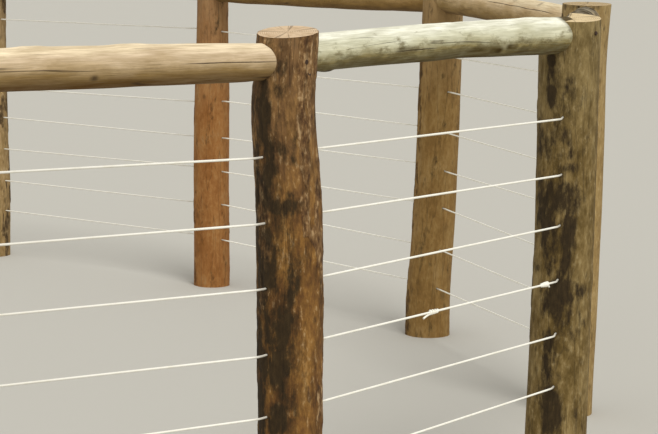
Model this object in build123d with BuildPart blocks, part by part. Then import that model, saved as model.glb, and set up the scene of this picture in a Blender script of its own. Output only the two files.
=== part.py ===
from build123d import *
from math import cos, pi, radians, sin
import os

# A curved run of round-timber fence: seven posts, a pole rail in each bay and seven taut strands.
# Millimetres, +Z up. The middle post stands on the origin, and the outer side of the curve faces -Y.

# Plan of the row
bay_lengths = [1300, 1190, 1245, 1366, 1380, 1300]
turn_angles = [18, 28.8, 25.5, 23.2, 14.5]  # degrees that the row turns at each inner post

# Rails: height of the centre line at each end, diameters at even steps along the pole, and upward bow
rails = [
    {"heights": (1320, 1320), "diameters": [100, 97, 94, 91, 92, 90, 89, 84], "bow": 4},
    {"heights": (1335, 1331), "diameters": [89, 88, 90, 91, 88, 92, 96, 98], "bow": 5},
    {"heights": (1316, 1300), "diameters": [98, 97, 100, 98, 101, 99, 98, 100], "bow": 3},
    {"heights": (1289, 1308), "diameters": [98, 101, 99, 103, 100, 102, 99, 101], "bow": 3},
    {"heights": (1304, 1285), "diameters": [101, 99, 102, 98, 100, 97, 99, 96], "bow": -3},
    {"heights": (1288, 1304), "diameters": [97, 99, 96, 98, 95, 97, 94, 93], "bow": 4},
]

# Posts: diameters at even steps from foot to head, wood above the highest rail's centre line, how far
# the head leans, the crook's sideways offsets at even steps, the saw cut's slope and the way it faces in
# degrees, the degrees that the strand holes are turned from halving the row's turn, and each hole's
# height above or below its even place
posts = [
    {"diameters": [164, 160, 157, 153, 150], "head": 66, "lean": (0, 6), "crook": [0, 3, -2, 2, 0],
     "cut": (6, 215), "drill": 0, "holes": [8, 4, 6, 7, 5, 5, 4]},
    {"diameters": [149, 147, 152, 150, 137], "head": 51, "lean": (0, 22), "crook": [0, 0, -1, -1, -3, -4, 0, 9, -1],
     "cut": (8.5, 156), "drill": 0, "holes": [0.5, 1, 0.5, -1, 1.5, 0.5, 2]},
    {"diameters": [172, 168, 163, 162, 167], "head": 46, "lean": (0, 0), "crook": [0, -2, -4, -6, -8, -9, -9, -8.5, -8],
     "cut": (5.5, 184), "drill": 7, "holes": [5, 1, 13, 15, 17, 20, 20]},
    {"diameters": [162, 160, 158, 157, 160], "head": 57, "lean": (0, -25), "crook": [0, 0, 0, 0, 0, 1, 2, 4, -1],
     "cut": (2, 170), "drill": 0, "holes": [0, 5, -5, 9, -5, -8, 2]},
    {"diameters": [171, 167, 165, 161, 158], "head": 62, "lean": (0, -33), "crook": [0, 2, -3, -7, -8, -8, -8, -7, -7],
     "cut": (5, 250), "drill": -9, "holes": [-17, -2.5, -6.5, -3, -1.5, -16.5, -15.5]},
    {"diameters": [158, 157, 158, 144, 130], "head": 74, "lean": (0, 2), "crook": [0, 1, 1, 0, 0],
     "cut": (7, 120), "drill": -10, "holes": [5, 0, -3.5, -9.5, 0, -0.5, 0.5]},
    {"diameters": [163, 158, 156, 150, 146], "head": 70, "lean": (5, 8), "crook": [0, -3, 2, 3, 0],
     "cut": (6, 40), "drill": 0, "holes": [0, 2, -18.5, -5, -3.5, -2, 7]},
]
saw_waste = 60
log_sides = 24
log_steps = 8
log_ovality = 0.014
log_unevenness = 0.01

# Rail sockets
socket_web = 24  # from the post's centre line to the flat floor of a socket
socket_fit = 0.3
socket_reveal = 12  # length of the dressed round end that shows outside the post

# The split that opens one socket at the post's head, in plan from the post's centre: x runs the
# rail's way and y to the inner side of the curve
split_post = 2
split_bay = 1
split_floor = 20  # above the rail's centre line
split_near = -22
split_stop = -18
split_turn = -6
split_far = (90, 54)

# Strands
strand_count = 7
strand_diameter = 5.5
strand_spacing = 150
top_strand_gap = 125  # from the lowest rail's underside down to the even place of the top strand
strand_hole_fit = 1.2
strand_bend_offset = 20  # from the post's surface to the point where a strand turns
strand_tail = 38
hole_climbs = {  # how far each hole rises from the row's start side to its end side, where it isn't level
    1: [9, 10, 9, 16, 11, 11, 10],
    4: [0, -3, 5, 8, -3, -7, -3],
    5: [4, 0, -17, -11, 3, -11, 1],
}
round_sides = 8  # thin round pieces and their holes are made with this many sides

# Sleeves, and the two knots on one strand at places measured from the centre of the post before them
sleeve_size = 14  # across the corners of the hexagon
sleeve_length = 24
sleeve_fit = 0.3
sleeve_bite = 3  # how deep the sleeve's flat seat is pressed into the log
seat_fit = 0.5
knot_bay = 1
knot_strand = 3
knots = {
    "splice_knot": {"place": 548, "length": 48, "diameter": 17},
    "splice_ferrule": {"place": 1049, "length": 44, "diameter": 15},
}
knot_edge = 3

lowest_underside = min(min(rail["heights"]) - max(rail["diameters"]) / 2 for rail in rails)
middle_post = len(posts) // 2
last_post = len(posts) - 1
end_senses = {0: -1, last_post: 1}  # which way the strands' ends point at the two end posts


def plan_headings():
    # Degrees from +X of each bay; the row is turned so that +X halves the middle post's turn
    half_turn = turn_angles[middle_post - 1] / 2
    headings = [0] * len(bay_lengths)
    headings[middle_post] = half_turn
    headings[middle_post - 1] = -half_turn
    for bay in range(middle_post + 1, len(bay_lengths)):
        headings[bay] = headings[bay - 1] + turn_angles[bay - 1]
    for bay in range(middle_post - 2, -1, -1):
        headings[bay] = headings[bay + 1] - turn_angles[bay]
    return headings


def level_way(angle):
    return Vector(cos(radians(angle)), sin(radians(angle)), 0)


def plan_feet():
    feet = [Vector(0, 0, 0)] * len(posts)
    for bay in range(middle_post, last_post):
        feet[bay + 1] = feet[bay] + level_way(headings[bay]) * bay_lengths[bay]
    for bay in range(middle_post - 1, -1, -1):
        feet[bay] = feet[bay + 1] - level_way(headings[bay]) * bay_lengths[bay]
    return feet


headings = plan_headings()
feet = plan_feet()


def between(values, share):
    # The value at a share of the way along a list of even steps
    place = min(max(share, 0), 1) * (len(values) - 1)
    step = min(int(place), len(values) - 2)
    return values[step] + (values[step + 1] - values[step]) * (place - step)


def post_height(index):
    heights = []
    if index > 0:
        heights.append(rails[index - 1]["heights"][1])
    if index < last_post:
        heights.append(rails[index]["heights"][0])
    return max(heights) + posts[index]["head"]


def post_centre(index, height):
    share = height / post_height(index)
    lean_x, lean_y = posts[index]["lean"]
    crook = between(posts[index]["crook"], share)
    return feet[index] + Vector(lean_x * share, lean_y * share + crook, height)


def post_radius(index, height):
    return between(posts[index]["diameters"], height / post_height(index)) / 2


def log_outline(radius, phase):
    # A log's uneven round section; the phase turns its lobes
    points = []
    for side in range(log_sides):
        angle = 2 * pi * side / log_sides
        swell = log_ovality * cos(2 * angle + phase) + log_unevenness * cos(3 * angle - 1.7 * phase)
        points.append((radius * (1 + swell) * cos(angle), radius * (1 + swell) * sin(angle)))
    return points


def rail_line(bay):
    start_height, end_height = rails[bay]["heights"]
    start = post_centre(bay, start_height)
    end = post_centre(bay + 1, end_height)
    return start, end, (end - start).normalized()


def rail_seat(bay, at_end):
    # The socket's flat floor, the way out of the socket and the dressed end's radius
    start, end, way = rail_line(bay)
    if at_end:
        return end - way * socket_web, -way, rails[bay]["diameters"][-1] / 2
    return start + way * socket_web, way, rails[bay]["diameters"][0] / 2


def hole_height(index, strand):
    even_place = lowest_underside - top_strand_gap - strand * strand_spacing
    return even_place + posts[index]["holes"][strand]


def hole_centre(index, strand):
    return post_centre(index, hole_height(index, strand))


def strand_mouth(index, strand, side):
    # Where a strand turns, just outside an inner post: side is -1 before the post and 1 after it
    angle = (headings[index - 1] + headings[index]) / 2 + posts[index]["drill"]
    reach = post_radius(index, hole_height(index, strand)) + strand_bend_offset
    climb = hole_climbs[index][strand] if index in hole_climbs else 0
    return hole_centre(index, strand) + (level_way(angle) * reach + Vector(0, 0, climb / 2)) * side


def strand_way(index, strand):
    if index == 0:
        return (strand_mouth(1, strand, -1) - hole_centre(0, strand)).normalized()
    if index == last_post:
        return (hole_centre(last_post, strand) - strand_mouth(last_post - 1, strand, 1)).normalized()
    return (strand_mouth(index, strand, 1) - hole_centre(index, strand)).normalized()


def sleeve_seat(index, strand):
    # The flat seat of an end sleeve and the way that the sleeve points
    way = strand_way(index, strand) * end_senses[index]
    radius = post_radius(index, hole_height(index, strand))
    inset = radius * (1 - log_ovality - log_unevenness) - sleeve_bite
    return hole_centre(index, strand) + way * inset, way


def strand_points(strand):
    first_seat, first_way = sleeve_seat(0, strand)
    last_seat, last_way = sleeve_seat(last_post, strand)
    points = [first_seat + first_way * strand_tail]
    for index in range(1, last_post):
        points.append(strand_mouth(index, strand, -1))
        points.append(strand_mouth(index, strand, 1))
    points.append(last_seat + last_way * strand_tail)
    return points


os.makedirs("parts", exist_ok=True)

# Posts: tapered, uneven logs with a slanted saw cut, a socket for each rail end and a hole for each strand
for index, post in enumerate(posts):
    top = post_height(index)
    with BuildPart() as log:
        for step in range(log_steps + 1):
            height = (top + saw_waste) * step / log_steps
            with BuildSketch(Plane(origin=post_centre(index, height), z_dir=(0, 0, 1))):
                with BuildLine():
                    Polyline(*log_outline(post_radius(index, height), index + 0.35 * step), close=True)
                make_face()
        loft(ruled=True)
        slope, facing = post["cut"]
        cut_normal = level_way(facing) * sin(radians(slope)) + Vector(0, 0, cos(radians(slope)))
        split(bisect_by=Plane(origin=post_centre(index, top), z_dir=cut_normal), keep=Keep.BOTTOM)
        for bay, at_end in ((index - 1, True), (index, False)):
            if bay < 0 or bay >= len(rails):
                continue
            floor, outward, radius = rail_seat(bay, at_end)
            across = Vector(0, 0, 1).cross(outward).normalized()
            with BuildSketch(Plane(origin=floor, x_dir=across, z_dir=outward)):
                RegularPolygon(radius + socket_fit, log_sides)
        if index in end_senses:
            for strand in range(strand_count):
                seat, way = sleeve_seat(index, strand)
                with BuildSketch(Plane(origin=seat, z_dir=way)):
                    RegularPolygon(sleeve_size / 2 + seat_fit, 6)
        extrude(amount=max(post["diameters"]), mode=Mode.SUBTRACT)
        if index == split_post:
            split_height = rails[split_bay]["heights"][1] + split_floor
            reach = max(post["diameters"])
            near_side = [(-reach, split_near), (split_stop, split_near), (split_stop, split_turn)]
            far_side = [split_far, (split_far[0], reach), (-reach, reach)]
            with BuildSketch(Plane(origin=post_centre(index, split_height), x_dir=level_way(headings[split_bay]))):
                with BuildLine():
                    Polyline(*near_side, *far_side, close=True)
                make_face()
            extrude(amount=saw_waste, mode=Mode.SUBTRACT)
        for strand in range(strand_count):
            with BuildSketch(Plane(origin=hole_centre(index, strand), z_dir=strand_way(index, strand))):
                RegularPolygon(strand_diameter / 2 + strand_hole_fit, round_sides)
        extrude(amount=max(post["diameters"]), both=True, mode=Mode.SUBTRACT)
    log.part.label = f"post_{index + 1}"
    export_step(log.part, f"parts/post_{index + 1}.step")

# Rails: tapered, slightly bowed poles whose ends are dressed round to fill the sockets
for bay, rail in enumerate(rails):
    first, first_way, first_radius = rail_seat(bay, False)
    last, last_way, last_radius = rail_seat(bay, True)
    first_shoulder = first + first_way * (post_radius(bay, rail["heights"][0]) - socket_web + socket_reveal)
    last_shoulder = last + last_way * (post_radius(bay + 1, rail["heights"][1]) - socket_web + socket_reveal)
    across = first_way.cross(Vector(0, 0, 1)).normalized()
    steps = len(rail["diameters"]) - 1
    with BuildPart() as pole:
        for place, radius in ((first, first_radius), (first_shoulder, first_radius)):
            with BuildSketch(Plane(origin=place, x_dir=across, z_dir=first_way)):
                RegularPolygon(radius, log_sides)
        for step in range(1, steps):
            share = step / steps
            rise = Vector(0, 0, rail["bow"] * sin(pi * share))
            place = first_shoulder + (last_shoulder - first_shoulder) * share + rise
            with BuildSketch(Plane(origin=place, x_dir=across, z_dir=first_way)):
                with BuildLine():
                    Polyline(*log_outline(rail["diameters"][step] / 2, bay + 0.5 * step), close=True)
                make_face()
        for place, radius in ((last_shoulder, last_radius), (last, last_radius)):
            with BuildSketch(Plane(origin=place, x_dir=across, z_dir=first_way)):
                RegularPolygon(radius, log_sides)
        loft(ruled=True)
    pole.part.label = f"rail_{bay + 1}"
    export_step(pole.part, f"parts/rail_{bay + 1}.step")

# Strands: each runs from end to end, straight through the posts, and turns just outside them
for strand in range(strand_count):
    with BuildPart() as wire:
        with BuildLine() as route:
            Polyline(*strand_points(strand))
        with BuildSketch(route.line ^ 0):
            RegularPolygon(strand_diameter / 2, round_sides)
        sweep(transition=Transition.RIGHT)
    wire.part.label = f"wire_{strand + 1}"
    export_step(wire.part, f"parts/wire_{strand + 1}.step")

# End sleeves: hexagonal, crimped on the strands against their seats in the two end posts
for name, index in (("end_sleeves_a", 0), ("end_sleeves_b", last_post)):
    with BuildPart() as sleeves:
        for strand in range(strand_count):
            seat, way = sleeve_seat(index, strand)
            with BuildSketch(Plane(origin=seat, z_dir=way)):
                RegularPolygon(sleeve_size / 2, 6)
                RegularPolygon(strand_diameter / 2 + sleeve_fit, round_sides, mode=Mode.SUBTRACT)
            extrude(amount=sleeve_length)
    sleeves.part.label = name
    export_step(sleeves.part, f"parts/{name}.step")

# Knots: two lumps with bevelled ends on one strand
span_start = strand_mouth(knot_bay, knot_strand, 1)
span_end = strand_mouth(knot_bay + 1, knot_strand, -1)
span_way = (span_end - span_start).normalized()
to_post = post_radius(knot_bay, hole_height(knot_bay, knot_strand)) + strand_bend_offset
for name, knot in knots.items():
    middle = span_start + span_way * (knot["place"] - to_post)
    square_on = Plane(origin=middle, z_dir=span_way)
    with BuildPart() as lump:
        with BuildSketch(square_on):
            RegularPolygon(knot["diameter"] / 2, round_sides)
            RegularPolygon(strand_diameter / 2 + sleeve_fit, round_sides, mode=Mode.SUBTRACT)
        extrude(amount=knot["length"] / 2, both=True)
        chamfer(lump.edges().filter_by(square_on).group_by(SortBy.LENGTH)[-1], knot_edge)
    lump.part.label = name
    export_step(lump.part, f"parts/{name}.step")
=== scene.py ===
import random
from contextlib import contextmanager
from math import cos, pi, radians, sin

import bmesh
import bpy
import numpy as np
from mathutils import Matrix, Vector, noise


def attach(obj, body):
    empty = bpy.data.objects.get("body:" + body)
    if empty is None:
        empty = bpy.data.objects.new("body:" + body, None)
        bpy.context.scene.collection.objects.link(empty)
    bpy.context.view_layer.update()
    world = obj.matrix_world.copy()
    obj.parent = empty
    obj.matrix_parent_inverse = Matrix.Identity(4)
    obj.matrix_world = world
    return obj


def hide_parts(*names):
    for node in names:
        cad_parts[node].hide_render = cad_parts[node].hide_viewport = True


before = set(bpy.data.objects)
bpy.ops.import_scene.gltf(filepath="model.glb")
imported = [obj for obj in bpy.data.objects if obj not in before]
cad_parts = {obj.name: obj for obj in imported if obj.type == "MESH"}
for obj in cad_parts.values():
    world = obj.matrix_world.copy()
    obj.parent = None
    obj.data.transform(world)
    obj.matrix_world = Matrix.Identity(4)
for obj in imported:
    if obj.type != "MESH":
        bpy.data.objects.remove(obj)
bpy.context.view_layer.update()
print("frame loaded:", len(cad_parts), "nodes")

mm = 0.001  # the fence's sizes are in millimetres, the scene is in metres
upward = Vector((0, 0, 1))
fractal = {"hardness": 0.75, "octaveStep": 2.1, "seedStep": (13.7, 7.3, 5.1)}  # of the noise in the relief

# The plan of the row and the round timber that it is made of
row = {
    "bayLengths": [1300, 1190, 1245, 1366, 1380, 1300],
    "turns": [18, 28.8, 25.5, 23.2, 14.5],  # degrees at each inner post
    "middlePost": 3,
    "sawWaste": 60,  # above a post's head, before the saw cut
    "socketWeb": 24,  # from a post's centre line to a socket's floor
    "socketFit": 0.3,
    "socketReveal": 12,  # how far outside the post a rail's dressed end shows
    "ovality": 0.014,
    "unevenness": 0.01,
    "unevenPhase": 1.7,
    "postTwist": 2.8,  # radians that the oval turns on the way up a post
    "railTwist": 0.5,  # radians that it turns between two diameters of a rail
}

posts = [
    {"diameters": [164, 160, 157, 153, 150], "head": 66, "lean": (0, 6), "crook": [0, 3, -2, 2, 0],
     "cut": (6, 215), "drill": 0, "holes": [8, 4, 6, 7, 5, 5, 4]},
    {"diameters": [149, 147, 152, 150, 137], "head": 51, "lean": (0, 22),
     "crook": [0, 0, -1, -1, -3, -4, 0, 9, -1], "cut": (8.5, 156), "drill": 0,
     "holes": [0.5, 1, 0.5, -1, 1.5, 0.5, 2]},
    {"diameters": [172, 168, 163, 162, 167], "head": 46, "lean": (0, 0),
     "crook": [0, -2, -4, -6, -8, -9, -9, -8.5, -8], "cut": (5.5, 184), "drill": 7,
     "holes": [5, 1, 13, 15, 17, 20, 20]},
    {"diameters": [162, 160, 158, 157, 160], "head": 57, "lean": (0, -25),
     "crook": [0, 0, 0, 0, 0, 1, 2, 4, -1], "cut": (2, 170), "drill": 0, "holes": [0, 5, -5, 9, -5, -8, 2]},
    {"diameters": [171, 167, 165, 161, 158], "head": 62, "lean": (0, -33),
     "crook": [0, 2, -3, -7, -8, -8, -8, -7, -7], "cut": (5, 250), "drill": -9,
     "holes": [-17, -2.5, -6.5, -3, -1.5, -16.5, -15.5]},
    {"diameters": [158, 157, 158, 144, 130], "head": 74, "lean": (0, 2), "crook": [0, 1, 1, 0, 0],
     "cut": (7, 120), "drill": -10, "holes": [5, 0, -3.5, -9.5, 0, -0.5, 0.5]},
    {"diameters": [163, 158, 156, 150, 146], "head": 70, "lean": (5, 8), "crook": [0, -3, 2, 3, 0],
     "cut": (6, 40), "drill": 0, "holes": [0, 2, -18.5, -5, -3.5, -2, 7]},
]

rails = [
    {"heights": (1320, 1320), "diameters": [100, 97, 94, 91, 92, 90, 89, 84], "bow": 4},
    {"heights": (1335, 1331), "diameters": [89, 88, 90, 91, 88, 92, 96, 98], "bow": 5},
    {"heights": (1316, 1300), "diameters": [98, 97, 100, 98, 101, 99, 98, 100], "bow": 3},
    {"heights": (1289, 1308), "diameters": [98, 101, 99, 103, 100, 102, 99, 101], "bow": 3},
    {"heights": (1304, 1285), "diameters": [101, 99, 102, 98, 100, 97, 99, 96], "bow": -3},
    {"heights": (1288, 1304), "diameters": [97, 99, 96, 98, 95, 97, 94, 93], "bow": 4},
]

strands = {
    "count": 7,
    "diameter": 5.5,
    "spacing": 150,
    "topHeight": 1109,
    "holeFit": 1.2,
    "bendOffset": 20,
    "tail": 38,
    "sleeveBite": 3,
    "climbs": {1: [9, 10, 9, 16, 11, 11, 10], 4: [0, -3, 5, 8, -3, -7, -3], 5: [4, 0, -17, -11, 3, -11, 1]},
}


def levelWay(angle):
    return Vector((cos(radians(angle)), sin(radians(angle)), 0))


def planRow():
    # headings of the bays in degrees from +X, and the posts' feet in metres
    middle = row["middlePost"]
    turned = [sum(row["turns"][:bay]) for bay in range(len(row["bayLengths"]))]
    headings = [turn - turned[middle] + row["turns"][middle - 1] / 2 for turn in turned]
    feet = [Vector((0, 0, 0))]
    for heading, length in zip(headings, row["bayLengths"]):
        feet.append(feet[-1] + levelWay(heading) * length * mm)
    return headings, [foot - feet[middle] for foot in feet]


headings, feet = planRow()
lastPost = len(posts) - 1
endSenses = {0: -1, lastPost: 1}


def between(values, share):
    # a smooth curve through values at even steps, read at a share of the way
    ends = [2 * values[0] - values[1], *values, 2 * values[-1] - values[-2]]
    table = np.asarray(ends, float)
    place = np.clip(share, 0, 1) * (len(values) - 1)
    step = np.minimum(np.asarray(place).astype(int), len(values) - 2)
    part = place - step
    before, start, end, after = table[step], table[step + 1], table[step + 2], table[step + 3]
    bend = 2 * before - 5 * start + 4 * end - after + part * (3 * (start - end) + after - before)
    return start + 0.5 * part * (end - before + part * bend)


def swell(angle, phase):
    uneven = row["unevenness"] * np.cos(3 * angle - row["unevenPhase"] * phase)
    return row["ovality"] * np.cos(2 * angle + phase) + uneven


def postTop(index):
    heights = []
    if index > 0:
        heights.append(rails[index - 1]["heights"][1])
    if index < lastPost:
        heights.append(rails[index]["heights"][0])
    return (max(heights) + posts[index]["head"]) * mm


def postLine(index, height):
    # x and y of the post's centre line at heights in metres
    share = np.asarray(height) / postTop(index)
    leanX, leanY = posts[index]["lean"]
    shiftX = leanX * mm * share
    shiftY = leanY * mm * share + between(posts[index]["crook"], share) * mm
    return feet[index].x + shiftX, feet[index].y + shiftY


def postCentre(index, height):
    x, y = postLine(index, height)
    return Vector((float(x), float(y), height))


def postRadius(index, height):
    return between(posts[index]["diameters"], np.asarray(height) / postTop(index)) / 2 * mm


def railSeat(bay, atEnd):
    start = postCentre(bay, rails[bay]["heights"][0] * mm)
    end = postCentre(bay + 1, rails[bay]["heights"][1] * mm)
    way = (end - start).normalized()
    if atEnd:
        return end - way * row["socketWeb"] * mm, -way, rails[bay]["diameters"][-1] / 2 * mm
    return start + way * row["socketWeb"] * mm, way, rails[bay]["diameters"][0] / 2 * mm


def holeHeight(index, strand):
    return (strands["topHeight"] - strand * strands["spacing"] + posts[index]["holes"][strand]) * mm


def holeCentre(index, strand):
    return postCentre(index, holeHeight(index, strand))


def strandMouth(index, strand, side):
    angle = (headings[index - 1] + headings[index]) / 2 + posts[index]["drill"]
    reach = float(postRadius(index, holeHeight(index, strand))) + strands["bendOffset"] * mm
    climb = strands["climbs"][index][strand] if index in strands["climbs"] else 0
    return holeCentre(index, strand) + (levelWay(angle) * reach + upward * climb / 2 * mm) * side


def strandWay(index, strand):
    if index == 0:
        return (strandMouth(1, strand, -1) - holeCentre(0, strand)).normalized()
    if index == lastPost:
        return (holeCentre(lastPost, strand) - strandMouth(lastPost - 1, strand, 1)).normalized()
    return (strandMouth(index, strand, 1) - holeCentre(index, strand)).normalized()


def sleeveSeat(index, strand):
    way = strandWay(index, strand) * endSenses[index]
    radius = float(postRadius(index, holeHeight(index, strand)))
    inset = radius * (1 - row["ovality"] - row["unevenness"]) - strands["sleeveBite"] * mm
    return holeCentre(index, strand) + way * inset, way


def toLinear(hexColour):
    parts = [int(hexColour[start:start + 2], 16) / 255 for start in (1, 3, 5)]
    return [p / 12.92 if p <= 0.04045 else ((p + 0.055) / 1.055) ** 2.4 for p in parts] + [1]


def addNode(tree, kind, inputs=None, **settings):
    # each input is a number, a hex colour, a socket or a node, which gives its main result
    node = tree.nodes.new("ShaderNode" + kind)
    for name, value in settings.items():
        setattr(node, name, value)
    for name, value in (inputs or {}).items():
        if isinstance(value, bpy.types.Node):
            value = value.outputs[2 if getattr(value, "data_type", "") == "RGBA" else 0]
        if isinstance(value, bpy.types.NodeSocket):
            tree.links.new(value, node.inputs[name])
        elif isinstance(value, str):
            node.inputs[name].default_value = toLinear(value)
        else:
            node.inputs[name].default_value = value
    return node


def newMaterial(name):
    material = bpy.data.materials.new(name)
    material.use_nodes = True
    material.node_tree.nodes.clear()
    return material, material.node_tree


def closeMaterial(tree, relief, strength, depth, surfaceInputs):
    # the bump, the surface that wears it, and the output
    bump = addNode(tree, "Bump", {"Height": relief, "Strength": strength, "Distance": depth})
    surface = addNode(tree, "BsdfPrincipled", {"Normal": bump, **surfaceInputs})
    addNode(tree, "OutputMaterial", {"Surface": surface})


def setStops(node, places, colours):
    ramp = node.color_ramp
    while len(ramp.elements) < len(places):
        ramp.elements.new(0.5)
    for element, place, colour in zip(ramp.elements, places, colours):
        element.position = place
        element.color = toLinear(colour)


def addLayer(tree, under, over, field, span, most):
    # lays one colour over another, more and more as the field crosses the span
    low, high = span
    share = addNode(tree, "MapRange", {"Value": field, "From Min": low, "From Max": high, "To Max": most})
    return addNode(tree, "Mix", {0: share, 6: under, 7: over}, data_type="RGBA")


def addLine(tree, field, middle, span, most):
    # the share of a line that runs where the field passes the middle value, and fades across the span
    side = addNode(tree, "Math", {0: field, 1: middle}, operation="SUBTRACT")
    far = addNode(tree, "Math", {0: side}, operation="ABSOLUTE")
    inner, outer = span
    return addNode(tree, "MapRange", {"Value": far, "From Min": inner, "From Max": outer, "To Min": most,
                                      "To Max": 0})


def addSum(tree, total, parts):
    # adds to the total each part times its weight
    for part, weight in parts:
        total = addNode(tree, "Math", {0: part, 1: weight, 2: total}, operation="MULTIPLY_ADD")
    return total


def addWander(tree, base, field, amount):
    # the base value, which a noise field moves up and down
    shift = addNode(tree, "Math", {0: field, 1: 0.5}, operation="SUBTRACT")
    return addSum(tree, base, [(shift, amount)])


def deselectAll():
    if bpy.context.object and bpy.context.object.mode != "OBJECT":
        bpy.ops.object.mode_set(mode="OBJECT")
    bpy.ops.object.select_all(action="DESELECT")


def pick(piece):
    deselectAll()
    piece.select_set(True)
    bpy.context.view_layer.objects.active = piece


@contextmanager
def editing(piece):
    pick(piece)
    bpy.ops.object.mode_set(mode="EDIT")
    bpy.ops.mesh.select_all(action="SELECT")
    yield
    bpy.ops.object.mode_set(mode="OBJECT")


def choose(piece, kind, test):
    # while editing, selects the vertices or edges that pass the test
    bpy.ops.mesh.select_mode(type=kind)
    bpy.ops.mesh.select_all(action="DESELECT")
    shape = bmesh.from_edit_mesh(piece.data)
    for item in {"VERT": shape.verts, "EDGE": shape.edges}[kind]:
        if test(item):
            item.select_set(True)
    shape.select_flush_mode()
    bmesh.update_edit_mesh(piece.data)


def divideLength(piece, cuts):
    # while editing, cuts every edge that runs along the piece
    choose(piece, "EDGE", lambda edge: abs(edge.verts[0].co.z - edge.verts[1].co.z) > 1e-5)
    bpy.ops.mesh.subdivide(number_cuts=cuts)


def addObject(name, data):
    piece = bpy.data.objects.new(name, data)
    bpy.context.scene.collection.objects.link(piece)
    return piece


def applyModifier(piece, kind, **settings):
    modifier = piece.modifiers.new(kind.title(), kind)
    for name, value in settings.items():
        setattr(modifier, name, value)
    pick(piece)
    bpy.ops.object.modifier_apply(modifier=modifier.name)


def readPlaces(piece):
    places = np.empty(len(piece.data.vertices) * 3)
    piece.data.vertices.foreach_get("co", places)
    return places.reshape(-1, 3)


def writePlaces(piece, places):
    piece.data.vertices.foreach_set("co", np.ascontiguousarray(places).ravel())
    piece.data.update()


def writeAttribute(piece, name, values):
    layer = piece.data.attributes.new(name, "FLOAT_VECTOR", "POINT")
    layer.data.foreach_set("vector", np.ascontiguousarray(values, dtype=np.float32).ravel())


def readFields(angle, along, seed, made):
    # fractal noise on the log's skin, about -1 to 1. Each field is (cycles a metre round, round and along the
    # log), the seed's offset and octaves
    radius = made["skinRadius"] * mm
    skin = np.column_stack((np.cos(angle) * radius, np.sin(angle) * radius, along))
    fields = {}
    for name, (scale, offset, octaves) in made["fields"].items():
        moved = skin * np.asarray(scale) + np.asarray(fractal["seedStep"]) * (seed + offset)
        fields[name] = np.array([noise.fractal(place, fractal["hardness"], fractal["octaveStep"], octaves)
                                 for place in moved.tolist()])
    return fields


def ease(value, low, high):
    part = np.clip((value - low) / (high - low), 0, 1)
    return part * part * (3 - 2 * part)


def turnFrom(angle, degrees):
    # how far an angle is from a direction in degrees, in radians from -pi to pi
    return (angle - radians(degrees) + pi) % (2 * pi) - pi


def addCylinder(name, sides, radius, start, way, length):
    deselectAll()
    turn = way.to_track_quat("Z", "Y").to_euler()
    bpy.ops.mesh.primitive_cylinder_add(
        vertices=sides, radius=radius, depth=length, location=start + way * length / 2, rotation=turn)
    piece = bpy.context.object
    piece.name = name
    bpy.ops.object.transform_apply(location=True, rotation=True, scale=True)
    return piece


def joinPieces(pieces, name):
    deselectAll()
    for piece in pieces:
        piece.select_set(True)
    joined = pieces[0]
    bpy.context.view_layer.objects.active = joined
    bpy.ops.object.join()
    joined.name = name
    joined.data.name = name
    return joined


def cutAway(piece, cutter):
    applyModifier(piece, "BOOLEAN", operation="DIFFERENCE", solver="EXACT", object=cutter)
    bpy.data.objects.remove(cutter)


def addLog(name, sides, rounds):
    # a cylinder of unit radius and unit length, divided along its length by rounds of cuts
    deselectAll()
    bpy.ops.mesh.primitive_cylinder_add(vertices=sides, radius=1, depth=1, location=(0, 0, 0.5))
    log = bpy.context.object
    log.name = name
    log.data.name = name
    bpy.ops.object.transform_apply(location=True, rotation=True, scale=True)
    with editing(log):
        for cuts in rounds:
            divideLength(log, cuts)
    return log


def finishPiece(piece, materials, nodes, angle=40):
    piece.data.materials.clear()
    for material in materials:
        piece.data.materials.append(material)
    pick(piece)
    bpy.ops.object.shade_smooth_by_angle(angle=radians(angle))
    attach(piece, "root")
    if nodes:
        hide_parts(*nodes)


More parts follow.
